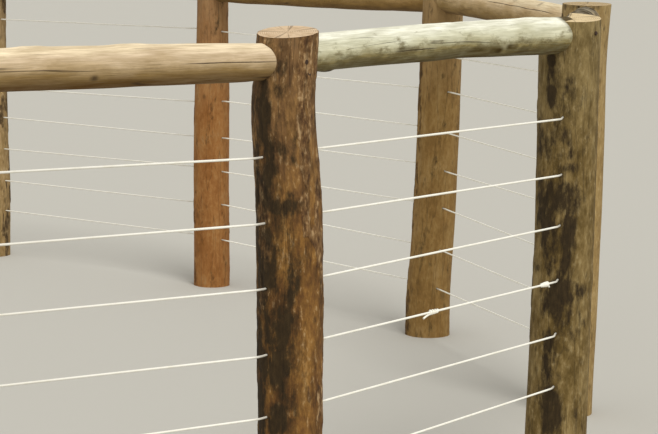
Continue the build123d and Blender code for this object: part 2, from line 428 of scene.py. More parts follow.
# Timber looks. Wood and bark run from their darkest tone to their lightest. barkShare is how much of the post
# keeps bark, and bare is a side without any: (degrees round, half its width). wash greys the head: (height
# in metres where it starts, where it is full, how much). The stain patches are black mould, and on the third
# and
# fourth posts also painted shadow: (height in mm, degrees round, half its height, half its width in degrees,
# strength)
postLooks = [
    {"wood": ["#4f3c26", "#745838", "#91744e", "#ae9169"], "bark": ["#2e2316", "#57432a", "#836c48"],
     "fleck": "#b59a78", "top": "#dcc19a", "ring": "#b9966a", "grainShare": 0.18, "fleckShare": 0.45,
     "barkShare": 0.3, "mottleShare": 0.6, "bare": (0, 0), "wash": (0.8, 1.3, 0.3), "washTone": "#8d7a5e",
     "stainsAndShade": [(1130, 150, 120, 30, 0.6), (820, 120, 160, 35, 0.7), (420, 165, 150, 28, 0.6),
                (700, -30, 200, 40, 0.5)]},
    {"wood": ["#4a3116", "#704c25", "#8b632e", "#ae8750"], "bark": ["#523820", "#7b5b36", "#a98a61"],
     "fleck": "#bb9c72", "top": "#dcc5a3", "ring": "#c2a37f", "grainShare": 0.1, "fleckShare": 0.5,
     "barkShare": 0.26, "mottleShare": 0.8, "bare": (170, 30), "wash": (0.9, 1.35, 0.45),
     "washTone": "#8f7350",
     "stainsAndShade": [(1186, 134, 92, 18, 1), (1260, 168, 18, 15, 0.7), (1327, 155, 42, 24, 0.6),
                (1130, 170, 18, 12, 0.7), (1076, 137, 22, 23, 1), (1099, 191, 16, 5, 0.6),
                (1035, 130, 40, 14, 0.75), (994, 161, 20, 38, 0.95), (935, 132, 40, 18, 0.85),
                (842, 130, 50, 25, 1), (712, 146, 60, 31, 1), (606, 152, 55, 25, 0.95),
                (508, 146, 40, 26, 1), (400, 150, 70, 24, 0.9), (270, 146, 80, 30, 0.85),
                (120, 170, 90, 40, 0.7), (850, 130, 500, 34, 0.68), (700, 168, 420, 24, 0.44),
                (936, 172, 44, 16, 0.5), (830, 178, 60, 17, 0.62), (569, 106, 150, 30, 0.95),
                (721, 104, 80, 26, 0.85), (861, 150, 74, 24, 0.6), (640, 200, 60, 12, 0.4),
                (700, 20, 260, 30, 0.6)]},
    {"wood": ["#54421c", "#6f5a30", "#887246", "#a08c5e"], "bark": ["#372b12", "#5d4b23", "#86703c"],
     "fleck": "#a8966f", "top": "#e6d2a8", "ring": "#c3a87a", "grainShare": 0.1, "fleckShare": 0.35,
     "barkShare": 0.1, "mottleShare": 0.75, "bare": (185, 95), "wash": (1.0, 1.35, 0.5),
     "washTone": "#99875b",
     # the first patch is painted shadow under the end of the second rail
     "stainsAndShade": [(1264, 131, 16, 12, 0.9), (1170, 133, 36, 12, 1), (1222, 132, 30, 8, 0.7),
                (1191, 175, 40, 10, 0.8), (1212, 134, 95, 20, 0.45), (1290, 201, 9, 6, 0.4),
                (1210, 195, 12, 5, 0.5), (1063, 170, 26, 9, 0.9), (1045, 125, 60, 36, 0.5),
                (720, 157, 430, 34, 0.4), (979, 173, 12, 23, 0.85), (895, 161, 46, 36, 0.95),
                (845, 132, 95, 15, 1), (804, 175, 50, 15, 1), (722, 175, 36, 9, 0.9),
                (700, 115, 10, 18, 0.6), (619, 163, 58, 28, 1), (643, 206, 26, 12, 0.75),
                (781, 143, 95, 18, 0.85), (504, 143, 34, 12, 0.95), (429, 141, 46, 8, 0.9),
                (490, 180, 14, 8, 0.6), (542, 206, 50, 15, 0.55), (870, 125, 90, 18, 0.8),
                (300, 160, 78, 19, 0.9), (310, 205, 36, 7, 0.55), (150, 140, 60, 26, 0.8),
                (900, -20, 220, 35, 0.6)]},
    {"wood": ["#7a613a", "#977c4b", "#a68b59", "#bba170"], "bark": ["#4c3a22", "#6f5a38", "#8f7850"],
     "fleck": "#c0aa82", "top": "#c4af86", "ring": "#a0845c", "grainShare": 0.14, "fleckShare": 0.3,
     "barkShare": 0.08, "mottleShare": 0.4, "bare": (220, 60), "wash": (0.8, 1.3, 0.3),
     "washTone": "#a59064",
     # the first patch is painted shadow cast by the third post across this post's head
     "stainsAndShade": [(1350, 140, 14, 52, 0.62), (1000, 20, 120, 25, 0.4), (500, 80, 150, 20, 0.4)]},
    {"wood": ["#74572b", "#876737", "#947543", "#a48657"], "bark": ["#553e1e", "#6c5029", "#806437"],
     "fleck": "#99804f", "top": "#cfb184", "ring": "#a47f50", "grainShare": 0.12, "fleckShare": 0.2,
     "barkShare": 0.05, "mottleShare": 0.35, "bare": (190, 80), "wash": (0.9, 1.3, 0.75),
     "washTone": "#a1865d",
     "stainsAndShade": [(900, 225, 150, 16, 0.25), (620, 60, 180, 24, 0.5)]},
    {"wood": ["#825324", "#936232", "#a0703d", "#a47f52"], "bark": ["#64401d", "#7c5228", "#90683b"],
     "fleck": "#a9804f", "top": "#cfae80", "ring": "#a67a4c", "grainShare": 0.12, "fleckShare": 0.2,
     "barkShare": 0.05, "mottleShare": 0.35, "bare": (190, 80), "wash": (0.75, 1.3, 0.7),
     "washTone": "#967a57",
     "stainsAndShade": [(1200, 200, 90, 30, 0.2), (500, 40, 200, 22, 0.4)]},
    {"wood": ["#735b38", "#90764b", "#a3885c", "#b9a079"], "bark": ["#4c3a24", "#6d5838", "#8c754e"],
     "fleck": "#b79f78", "top": "#d3b78a", "ring": "#a98658", "grainShare": 0.16, "fleckShare": 0.4,
     "barkShare": 0.14, "mottleShare": 0.45, "bare": (0, 0), "wash": (0.8, 1.3, 0.4), "washTone": "#8d7a5e",
     "stainsAndShade": [(1000, 100, 150, 25, 0.4), (560, 120, 160, 22, 0.45), (800, -80, 180, 30, 0.5)]},
]

# tones run from the underside to the top of the pole: darker below from algae and painted shade, paler above
# from sun bleaching and painted sunlight; knots are (along, degrees up from level, size, height, darkness) in
# mm;
# crack is (from, to, degrees up from level); the stain patches are (along, degrees up from level, half their
# length, half their width in degrees, strength), and those at -80 degrees and below are algae and painted
# shade together
railLooks = [
    {"tones": ["#5c3b09", "#947744", "#c4ab84", "#dac4a4", "#f2dfbb"], "streak": "#9c845e",
     "streakShare": 0.5, "stainAndShade": "#553509", "mottle": "#7f663a", "mottleShare": 0.3,
     "crack": (960, 1216, 6),
     "knots": [(742, -28, 13, 1.5, 0.8), (847, 82, 32, 4.5, 0), (610, 85, 24, 4, 0), (400, 20, 16, 2, 0.5)],
     "stainsAndShade": [(600, -80, 420, 42, 0.45), (700, -50, 200, 16, 0.3)]},
    {"tones": ["#4c3912", "#99874f", "#d0cbaa", "#e5e3c9", "#f7f5e2"], "streak": "#9b9777",
     "streakShare": 0.45, "stainAndShade": "#4a3a18", "mottle": "#64562c", "mottleShare": 0.76,
     "crack": (330, 520, -14),
     "knots": [(640, 88, 42, 2.5, 0), (985, 80, 30, 3, 0), (105, -65, 15, 6, 0.9),
               (790, -40, 12, 1.5, 0.4)],
     "stainsAndShade": [(390, -14, 48, 12, 0.5), (690, -30, 52, 13, 0.6), (775, -38, 28, 12, 0.6),
                (845, -24, 26, 9, 0.6), (905, -38, 26, 10, 0.5), (560, -42, 70, 12, 0.35),
                (250, -48, 120, 16, 0.35), (600, -85, 480, 28, 0.5), (1175, 90, 60, 90, 1)]},
    {"tones": ["#4f3814", "#846a37", "#b59e70", "#d2bd95", "#ecdfc0"], "streak": "#9a8259",
     "streakShare": 0.35, "stainAndShade": "#33260f", "mottle": "#735e37", "mottleShare": 0.4,
     "crack": (260, 700, 120),
     "knots": [(240, 80, 18, 2, 0.4), (700, 10, 16, 2, 0.5)],
     # this patch is painted shadow along the top of the rail towards the fourth post
     "stainsAndShade": [(800, 76, 430, 68, 0.8)]},
    {"tones": ["#5a4018", "#977b46", "#c4a879", "#dbc29a", "#ead9b4"], "streak": "#9a7f53",
     "streakShare": 0.35, "stainAndShade": "#5a4018", "mottle": "#755c34", "mottleShare": 0.35,
     "crack": (150, 760, 150),
     "knots": [(300, 120, 20, 2.5, 0.4), (640, -20, 15, 2, 0.4), (1040, 40, 18, 2, 0.4)],
     "stainsAndShade": [(500, -80, 300, 25, 0.3)]},
    {"tones": ["#5a3f16", "#92723a", "#b18f5b", "#c9ab80", "#dcc79d"], "streak": "#8a6c3e",
     "streakShare": 0.35, "stainAndShade": "#5a3f16", "mottle": "#6e542c", "mottleShare": 0.35,
     "crack": (500, 1150, 190),
     "knots": [(410, 60, 18, 2, 0.4), (900, 170, 22, 2.5, 0.5)],
     "stainsAndShade": [(700, -80, 300, 25, 0.3)]},
    {"tones": ["#5a4018", "#8a6e3a", "#b4976a", "#cdb48a", "#e6d5b0"], "streak": "#967b50",
     "streakShare": 0.35, "stainAndShade": "#5a4018", "mottle": "#735a33", "mottleShare": 0.35,
     "crack": (200, 800, 30),
     "knots": [(350, 30, 18, 2, 0.4), (830, -40, 16, 2, 0.5)],
     "stainsAndShade": [(500, -80, 300, 25, 0.3)]},
]

# The relief that is moved into the plain logs. Heights, depths and reaches are in millimetres
postTimber = {
    "sides": 112,
    "cuts": (13, 15),
    "skinRadius": 80,
    "barkHeight": 2.6,  # that bark stands off the wood
    "barkSink": 0.35,  # share of it that the whole surface is lowered by, which keeps the post's thickness
    "barkEdge": 0.75,  # share of it that shows as a step
    "barkSpan": (0.28, 0.42),  # of the patch field, less what barkSlope takes off for each share of bark
    "barkSlope": 0.55,
    "raggedness": 0.45,
    "fissureSpan": (0.02, 0.16),
    "fissureDepth": 1.8,
    "fissureDark": 0.45,
    "barkChips": 0.9,
    "woodChips": 0.25,
    "lumpHeight": 2.2,
    "grainHeight": 0.35,
    "cutWall": (1.5, 11),  # depth below the surface over which the relief fades on the walls of a cut
    "bareEdge": (0.8, 1.1),  # shares of the bare side's half width between which the bark starts
    "knots": 6,
    "knotSeed": 40,
    # a knot's height on the post, degrees round, size, height and darkness
    "knotLimits": ((90, 1150), (-180, 180), (13, 24), (1.5, 3), (0.15, 0.6)),
    "stainsAndShade": {"power": 2.6, "fade": (0.4, 1.75)},
    "sawFace": (0.9, 35),  # least upward slope of a face of the saw cut, and how far below the top it may lie
    "fields": {
        "patch": ((11, 11, 3.2), 0, 3),
        "ragged": ((42, 42, 12), 20, 2),
        "plates": ((34, 34, 7), 40, 2),
        "chips": ((95, 95, 38), 60, 2),
        "lumps": ((7, 7, 2.4), 80, 2),
        "grain": ((150, 150, 7), 100, 1),
    },
}
railTimber = {
    "sides": 96,
    "cuts": (11, 15),
    "skinRadius": 47,
    "dressedEnd": 30,  # length over which the round end passes into the rough pole
    "seed": 200,
    "lumpHeight": 1.3,
    "hollowHeight": 0.5,
    "grainHeight": 0.25,
    "crackEnds": (20, 60),  # how far a crack fades out past its end and before it
    "crackReach": 30,
    "stainsAndShade": {"power": 4, "fade": (0.6, 1.5)},
    "fields": {
        "lumps": ((12, 12, 4), 0, 2),
        "hollows": ((60, 60, 9), 20, 2),
        "grain": ((170, 170, 6), 40, 1),
    },
}


def addPatterns(tree, logSpace, patterns):
    # one noise field a pattern: (cycles a metre across, across and along the log), detail and roughness
    fields = {}
    for pattern, (scale, detail, roughness) in patterns.items():
        place = addNode(tree, "Mapping", {"Vector": logSpace, "Scale": scale})
        fields[pattern] = addNode(tree, "TexNoise", {"Vector": place, "Scale": 1, "Detail": detail,
                                                     "Roughness": roughness})
    return fields


def openTimber(name, patterns):
    # the material, the log's own space, the shares that the shape wrote to it, and the noise fields
    material, tree = newMaterial(name)
    logSpace = addNode(tree, "Attribute", attribute_name="logSpace").outputs["Vector"]
    surfaceMix = addNode(tree, "Attribute", attribute_name="surfaceMix").outputs["Vector"]
    shares = addNode(tree, "SeparateXYZ", {"Vector": surfaceMix}).outputs
    return material, tree, logSpace, shares, addPatterns(tree, logSpace, patterns)


postPatterns = {
    "tone": ((13, 13, 5), 6, 0.6),  # tones about 75 mm wide
    "flake": ((36, 36, 15), 8, 0.64),  # edges of the bark that is left, 28 mm
    "mouldAndShade": ((32, 32, 13), 8, 0.72),  # 30 mm
    "fleck": ((88, 88, 40), 6, 0.62),  # 11 mm
    "grain": ((380, 380, 24), 3, 0.5),  # 2.6 mm wide and 40 mm long
    "check": ((24, 24, 1.5), 2, 0.4),  # drying cracks, drawn about 2 mm wide
}


def makePostTimber(name, look):
    # Weathered pine, peeled by machine: dull bare wood with fine grain, and darker, flaky bark where it stays
    material, tree, logSpace, shares, fields = openTimber(name, postPatterns)
    broad = addNode(tree, "Mix", {0: look["grainShare"], 2: fields["tone"], 3: fields["grain"]})
    tone = addNode(tree, "Mix", {0: 0.4, 2: broad, 3: fields["fleck"]})
    wood = addNode(tree, "ValToRGB", {"Fac": tone})
    setStops(wood, (0.36, 0.46, 0.54, 0.66), look["wood"])
    bark = addNode(tree, "ValToRGB", {"Fac": fields["fleck"]})
    setStops(bark, (0.38, 0.52, 0.64), look["bark"])
    # the heads are washed grey by the rain
    height = addNode(tree, "SeparateXYZ", {"Vector": logSpace}).outputs["Z"]
    washed = addLayer(tree, wood, look["washTone"], height, look["wash"][:2], look["wash"][2])
    # brown mottles where the inner bark came off unevenly
    mottled = addLayer(tree, washed, look["wood"][0], fields["flake"], (0.44, 0.64), look["mottleShare"])
    # bark keeps ragged edges, with a line of shadow along them
    barkField = addWander(tree, shares["X"], fields["flake"], 2.2)
    barkShare = addNode(tree, "MapRange", {"Value": barkField, "From Min": 0.4, "From Max": 0.6})
    barked = addNode(tree, "Mix", {0: barkShare, 6: mottled, 7: bark}, data_type="RGBA")
    shadow = addLine(tree, barkField, 0.46, (0, 0.05), 0.35)
    edged = addNode(tree, "Mix", {0: shadow, 6: barked, 7: look["bark"][0]}, data_type="RGBA")
    # pale flecks of bare sapwood
    flecked = addLayer(tree, edged, look["fleck"], fields["fleck"], (0.58, 0.67), look["fleckShare"])
    # black mould, and on the third and fourth posts painted shadow
    mouldAndShade = addNode(tree, "Mix", {0: fields["fleck"], 6: "#0b0804", 7: "#46361d"}, data_type="RGBA")
    mouldAndShadeField = addWander(tree, shares["Y"], fields["mouldAndShade"], 3.6)
    mouldedAndShaded = addLayer(tree, flecked, mouldAndShade, mouldAndShadeField, (0.26, 0.86), 0.96)
    # hairline drying cracks along the grain, drawn dark as painted shade inside them, and the dark middles of
    # the knots
    checks = addLine(tree, fields["check"], 0.5, (0.002, 0.009), 0.35)
    hollow = addNode(tree, "Math", {0: checks, 1: shares["Z"]}, operation="MAXIMUM")
    cracked = addNode(tree, "Mix", {0: hollow, 6: mouldedAndShaded, 7: "#1f150c"}, data_type="RGBA")
    relief = addSum(tree, fields["fleck"], [(fields["grain"], 0.3), (barkShare, 0.35), (checks, -0.5)])
    closeMaterial(tree, relief, 0.85, 0.004, {"Base Color": cracked, "Roughness": 0.88, "IOR": 1.45,
                                              "Specular IOR Level": 0.3})
    return material


def makeSawnTop(name, look):
    # Chainsaw-cut end grain: pale, with growth rings about 5 mm apart, radial checks and saw ridges
    material, tree = newMaterial(name)
    logSpace = addNode(tree, "Attribute", attribute_name="logSpace").outputs["Vector"]
    flat = addNode(tree, "Mapping", {"Vector": logSpace, "Scale": (1, 1, 0)})
    rings = addNode(tree, "TexWave", {"Vector": flat, "Scale": 62, "Distortion": 2.2, "Detail": 2,
                                      "Detail Scale": 0.5}, wave_type="RINGS", rings_direction="Z")
    sawPlace = addNode(tree, "Mapping", {"Vector": logSpace, "Scale": (30, 210, 1), "Rotation": (0, 0, 0.6)})
    saw = addNode(tree, "TexNoise", {"Vector": sawPlace, "Scale": 1, "Detail": 3})
    patch = addPatterns(tree, logSpace, {"patch": ((34, 34, 34), 4, 0.6)})["patch"]
    around = addNode(tree, "TexGradient", {"Vector": logSpace}, gradient_type="RADIAL").outputs["Fac"]
    spokes = addNode(tree, "TexNoise", {"W": around, "Scale": 13, "Detail": 1}, noise_dimensions="1D")
    checks = addLine(tree, spokes, 0.5, (0.003, 0.012), 0.55)
    tone = addNode(tree, "Mix", {0: rings.outputs["Fac"], 6: look["top"], 7: look["ring"]}, data_type="RGBA")
    stained = addLayer(tree, tone, look["wood"][2], patch, (0.48, 0.68), 0.4)
    # the radial checks are drawn dark as painted shade inside them
    cracked = addNode(tree, "Mix", {0: checks, 6: stained, 7: "#3a2a1a"}, data_type="RGBA")
    relief = addSum(tree, saw, [(checks, -1.2)])
    closeMaterial(tree, relief, 0.7, 0.0015, {"Base Color": cracked, "Roughness": 0.85, "IOR": 1.45,
                                              "Specular IOR Level": 0.3})
    return material


railPatterns = {
    "tone": ((20, 20, 7), 6, 0.6),  # tones about 50 mm wide
    "streak": ((80, 80, 9), 4, 0.6),  # 12 mm wide
    "mottle": ((55, 55, 24), 8, 0.68),  # algae and mould, 18 mm
    "grain": ((360, 360, 14), 3, 0.5),  # 2.8 mm wide
    "check": ((21, 21, 0.9), 2, 0.4),  # drying cracks, drawn about 1.5 mm wide
    "gap": ((11, 11, 4), 2, 0.5),  # where those cracks close up, 90 mm
}


def makeRailTimber(name, look):
    # Debarked pole, bleached on top by the sun and green-brown with algae underneath, plus painted sunlight
    # on top and painted shade below; matt all over
    material, tree, _, shares, fields = openTimber(name, railPatterns)
    # the tones follow the height round the pole: painted shade underneath and painted sunlight on top, over
    # the real algae and bleaching
    tone = addNode(tree, "ValToRGB", {"Fac": addWander(tree, shares["X"], fields["tone"], 0.7)})
    setStops(tone, (0.08, 0.3, 0.52, 0.72, 0.92), look["tones"])
    streaked = addLayer(tree, tone, look["streak"], fields["streak"], (0.62, 0.36), look["streakShare"])
    # mottles gather on the lower side
    lowerSide = addNode(tree, "MapRange", {"Value": shares["X"], "From Min": 0.3, "From Max": 0.85,
                                           "To Min": 0.12, "To Max": -0.12})
    mottleField = addNode(tree, "Math", {0: fields["mottle"], 1: lowerSide}, operation="ADD")
    mottled = addLayer(tree, streaked, look["mottle"], mottleField, (0.52, 0.68), look["mottleShare"])
    grained = addLayer(tree, mottled, look["streak"], fields["grain"], (0.42, 0.66), 0.34)
    # brown stains, with algae and painted shade under the rails and painted shadow on the third rail's top,
    # all with less sheen than the wood
    stainAndShadeField = addWander(tree, shares["Y"], fields["tone"], 1.6)
    stainAndShadeShare = addNode(tree, "MapRange", {"Value": stainAndShadeField, "From Min": 0.2, "From Max": 0.9,
                                            "To Max": 0.96})
    stained = addNode(tree, "Mix", {0: stainAndShadeShare, 6: grained, 7: look["stainAndShade"]}, data_type="RGBA")
    sheen = addNode(tree, "MapRange", {"Value": stainAndShadeShare, "To Min": 0.35, "To Max": 0.03})
    # long drying cracks, which close up here and there
    checkLines = addLine(tree, fields["check"], 0.5, (0.002, 0.008), 0.7)
    openShare = addNode(tree, "MapRange", {"Value": fields["gap"], "From Min": 0.5, "From Max": 0.6})
    checks = addNode(tree, "Math", {0: checkLines, 1: openShare}, operation="MULTIPLY")
    # one wider crack, 2 mm across, that wanders with the grain
    crackPlace = addNode(tree, "Attribute", attribute_name="crackPlace").outputs["Vector"]
    crackAxes = addNode(tree, "SeparateXYZ", {"Vector": crackPlace}).outputs
    crackLine = addLine(tree, addWander(tree, crackAxes["X"], fields["tone"], 9), 0, (0.6, 1.5), 0.85)
    crack = addNode(tree, "Math", {0: crackLine, 1: crackAxes["Y"]}, operation="MULTIPLY")
    cracks = addNode(tree, "Math", {0: checks, 1: crack}, operation="MAXIMUM")
    hollow = addNode(tree, "Math", {0: cracks, 1: shares["Z"]}, operation="MAXIMUM")
    # the cracks are drawn dark as painted shade inside them; the knots' middles are their own darker wood
    cracked = addNode(tree, "Mix", {0: hollow, 6: stained, 7: "#3a2918"}, data_type="RGBA")
    relief = addSum(tree, fields["streak"], [(fields["grain"], 0.4), (cracks, -0.9)])
    closeMaterial(tree, relief, 0.85, 0.003, {"Base Color": cracked, "Roughness": 0.82, "IOR": 1.45,
                                              "Specular IOR Level": sheen})
    return material


# The cylinders that cut the posts, in millimetres; each reaches past the surface
borers = {
    "socket": {"sides": 64, "length": 160},
    "hole": {"sides": 14, "length": 300},
    "seat": {"sides": 6, "radius": 7.5, "length": 50},
}

# The split in a post's head, which leaves the end of a rail open to view
headSplit = {
    "post": 2,
    "bay": 1,
    "floor": 20,
    # x is the rail's way and y inwards
    "outline": [(-170, -22), (-18, -22), (-18, -6), (90, 54), (90, 170), (-170, 170)],
    "waste": 120,
}


def cutPost(log, index):
    # the slanted saw cut, the sockets, the strand holes, the sleeves' seats and the split
    slope, facing = posts[index]["cut"]
    normal = levelWay(facing) * sin(radians(slope)) + upward * cos(radians(slope))
    middle = postCentre(index, postTop(index))
    with editing(log):
        bpy.ops.mesh.bisect(plane_co=middle, plane_no=normal, use_fill=True, clear_outer=True)
    socket, hole, seat = borers.values()
    cutters = []
    for bay, atEnd in ((index - 1, True), (index, False)):
        if 0 <= bay < len(rails):
            floor, outward, radius = railSeat(bay, atEnd)
            cutters.append(addCylinder("socketCutter", socket["sides"], radius + row["socketFit"] * mm, floor,
                                       outward, socket["length"] * mm))
    for strand in range(strands["count"]):
        way = strandWay(index, strand)
        length = hole["length"] * mm
        radius = (strands["diameter"] / 2 + strands["holeFit"]) * mm
        start = holeCentre(index, strand) - way * length / 2
        cutters.append(addCylinder("holeCutter", hole["sides"], radius, start, way, length))
    cutAway(log, joinPieces(cutters, "cutters"))
    if index in endSenses:
        seats = [addCylinder("seatCutter", seat["sides"], seat["radius"] * mm, *sleeveSeat(index, strand),
                             seat["length"] * mm) for strand in range(strands["count"])]
        cutAway(log, joinPieces(seats, "seats"))
    if index == headSplit["post"]:
        cutAway(log, addSplit(index))


def addSplit(index):
    # the outline on its floor, drawn up into a solid
    origin = postCentre(index, (rails[headSplit["bay"]]["heights"][1] + headSplit["floor"]) * mm)
    along = levelWay(headings[headSplit["bay"]])
    inwards = upward.cross(along)
    deselectAll()
    bpy.ops.mesh.primitive_circle_add(vertices=len(headSplit["outline"]), fill_type="NGON")
    piece = bpy.context.object
    writePlaces(piece, [origin + along * x * mm + inwards * y * mm for x, y in headSplit["outline"]])
    with editing(piece):
        bpy.ops.mesh.extrude_region_move(TRANSFORM_OT_translate={"value": upward * headSplit["waste"] * mm})
        bpy.ops.mesh.select_all(action="SELECT")
        bpy.ops.mesh.normals_make_consistent(inside=False)
    return piece


# in the knot's own size
knotShape = {"length": 1.35, "sink": 0.5, "sinkWidth": 2.6, "darkSpan": (0.15, 0.85)}


def knotRelief(angle, along, radius, knots):
    # each knot is a low mound with a darker, slightly sunk middle
    rise = np.zeros_like(along)
    dark = np.zeros_like(along)
    for knotAlong, degrees, size, height, depth in knots:
        sideways = turnFrom(angle, degrees) * radius / size
        near = np.sqrt(sideways ** 2 + ((along / mm - knotAlong) / (size * knotShape["length"])) ** 2)
        sunk = knotShape["sink"] * np.exp(-(near * knotShape["sinkWidth"]) ** 2)
        rise += height * mm * (np.exp(-near ** 2) - sunk)
        dark = np.maximum(dark, depth * (1 - ease(near, *knotShape["darkSpan"])))
    return rise, dark


def stainAndShadeMask(angle, along, stainsAndShade, power, fade):
    # how dark each point is; a higher power makes squarer patches, and their edges run over the fade
    mask = np.zeros_like(along)
    for place, degrees, tall, wide, strength in stainsAndShade:
        turned = np.degrees(turnFrom(angle, degrees))
        away = (np.abs((along / mm - place) / tall) ** power + np.abs(turned / wide) ** power) ** (1 / power)
        mask = np.maximum(mask, strength * (1 - ease(away, *fade)))
    return mask


def postSkin(index, angle, height):
    # the radius of the plain surface, whose oval turns on the way up
    share = height / (postTop(index) + row["sawWaste"] * mm)
    return postRadius(index, height) * (1 + swell(angle, index + row["postTwist"] * share))


def shapePost(log, index):
    places = readPlaces(log)
    angle = np.arctan2(places[:, 1], places[:, 0])
    height = places[:, 2] * (postTop(index) + row["sawWaste"] * mm)
    centreX, centreY = postLine(index, height)
    radius = postSkin(index, angle, height)
    x, y = centreX + radius * np.cos(angle), centreY + radius * np.sin(angle)
    writePlaces(log, np.column_stack((x, y, height)))


def weatherPost(log, index):
    # bark, fissures, lumps and knots are moved into the outer surface; the cuts keep their walls
    look = postLooks[index]
    made = postTimber
    chance = random.Random(made["knotSeed"] + index)
    x, y, height = readPlaces(log).T
    centreX, centreY = postLine(index, height)
    outX, outY = x - centreX, y - centreY
    far = np.hypot(outX, outY)
    angle = np.arctan2(outY, outX)
    firstDepth, lastDepth = made["cutWall"]
    outer = 1 - ease(postSkin(index, angle, height) - far, firstDepth * mm, lastDepth * mm)
    fields = readFields(angle, height, index + 1, made)
    patch = fields["patch"] + made["raggedness"] * fields["ragged"]
    barkSpan = [limit - made["barkSlope"] * look["barkShare"] for limit in made["barkSpan"]]
    bareDegrees, bareHalf = look["bare"]
    bareTurn = np.abs(np.degrees(turnFrom(angle, bareDegrees)))
    bareStart, bareEnd = made["bareEdge"]
    bark = ease(patch, *barkSpan) * ease(bareTurn, bareHalf * bareStart, bareHalf * bareEnd + 1)
    fissure = 1 - ease(np.abs(fields["plates"]), *made["fissureSpan"])
    knots = [[chance.uniform(*limits) for limits in made["knotLimits"]] for _ in range(made["knots"])]
    rise, knotDark = knotRelief(angle, height, made["skinRadius"], knots)
    barked = (made["barkHeight"] * made["barkEdge"] - fissure * made["fissureDepth"]
              + fields["chips"] * made["barkChips"])
    bare = fields["grain"] * made["grainHeight"] + fields["chips"] * made["woodChips"]
    relief = (fields["lumps"] * made["lumpHeight"] + bark * barked + (1 - bark) * bare
              - made["barkHeight"] * made["barkSink"]) * mm + rise
    scale = 1 + relief * outer / np.maximum(far, 0.01)
    writePlaces(log, np.column_stack((centreX + outX * scale, centreY + outY * scale, height)))
    dark = stainAndShadeMask(angle, height, look["stainsAndShade"], **made["stainsAndShade"])
    # the bark's fissures are darkened as painted shade in them; the knots' dark middles are their own colour
    hollow = knotDark * outer + made["fissureDark"] * fissure * bark * outer
    writeAttribute(log, "logSpace", np.column_stack((outX, outY, height)))
    writeAttribute(log, "surfaceMix", np.column_stack((bark * outer, dark * outer, hollow)))


def buildPost(index):
    log = addLog(f"timberPost{index + 1}", postTimber["sides"], postTimber["cuts"])
    shapePost(log, index)
    cutPost(log, index)
    weatherPost(log, index)
    materials = (makePostTimber(f"weatheredPine{index + 1}", postLooks[index]),
                 makeSawnTop(f"sawnPineEnd{index + 1}", postLooks[index]))
    finishPiece(log, materials, [f"post_{index + 1}"])
    slope, below = postTimber["sawFace"]
    for face in log.data.polygons:
        if face.normal.z > slope and face.center.z > postTop(index) - below * mm:
            face.material_index = 1


def railShoulder(bay, post, end):
    # how far from its floor in the socket the rail's rough surface starts
    radius = float(postRadius(post, rails[bay]["heights"][end] * mm))
    return radius - (row["socketWeb"] - row["socketReveal"]) * mm


def buildRail(bay):
    # a pole whose ends are dressed round for their sockets, with a slight bow, knots and shallow hollows
    look = railLooks[bay]
    made = railTimber
    log = addLog(f"timberRail{bay + 1}", made["sides"], made["cuts"])
    first, way, _ = railSeat(bay, False)
    length = (railSeat(bay, True)[0] - first).length
    firstShoulder, lastShoulder = railShoulder(bay, bay, 0), railShoulder(bay, bay + 1, 1)
    across = way.cross(upward).normalized()
    rising = across.cross(way)
    places = readPlaces(log)
    angle = np.arctan2(places[:, 1], places[:, 0])
    flat = np.hypot(places[:, 0], places[:, 1])
    along = places[:, 2] * length
    share = np.clip((along - firstShoulder) / (length - firstShoulder - lastShoulder), 0, 1)
    dressed = made["dressedEnd"] * mm
    rough = (ease(along, firstShoulder, firstShoulder + dressed)
             * ease(length - along, lastShoulder, lastShoulder + dressed))
    radius = between(rails[bay]["diameters"], share) / 2 * mm
    steps = len(rails[bay]["diameters"]) - 1
    radius = radius * (1 + swell(-angle, bay + row["railTwist"] * steps * share) * rough)
    fields = readFields(angle, along, bay + made["seed"], made)
    rise, knotDark = knotRelief(angle, along, made["skinRadius"], look["knots"])
    relief = (fields["lumps"] * made["lumpHeight"] + fields["hollows"] * made["hollowHeight"]
              + fields["grain"] * made["grainHeight"]) * mm + rise
    radius = (radius + relief * rough) * flat
    x, y = radius * np.cos(angle), radius * np.sin(angle)
    bow = rails[bay]["bow"] * mm * np.sin(pi * share)
    writePlaces(log, np.outer(along, way) + np.outer(x, across) + np.outer(y + bow, rising) + np.array(first))
    writeAttribute(log, "logSpace", np.column_stack((x, y, along)))
    # brown stains, with algae and painted shade under the rails and painted shadow on the third rail's top
    stainAndShade = stainAndShadeMask(angle, along, look["stainsAndShade"], **made["stainsAndShade"])
    # X is the height round the pole, which sets the tones with their painted shade below and painted sunlight
    # on top
    writeAttribute(log, "surfaceMix", np.column_stack((0.5 + 0.5 * np.sin(angle), stainAndShade, knotDark)))
    crackStart, crackEnd, crackDegrees = look["crack"]
    past, before = made["crackEnds"]
    present = (ease(along / mm, crackStart - past, crackStart + before)
               * (1 - ease(along / mm, crackEnd - before, crackEnd + past)))
    reach = made["crackReach"]
    side = np.clip(turnFrom(angle, crackDegrees) * made["skinRadius"], -reach, reach)
    writeAttribute(log, "crackPlace", np.column_stack((side, present, present)))
    finishPiece(log, [makeRailTimber(f"peeledPole{bay + 1}", look)], [f"rail_{bay + 1}"])


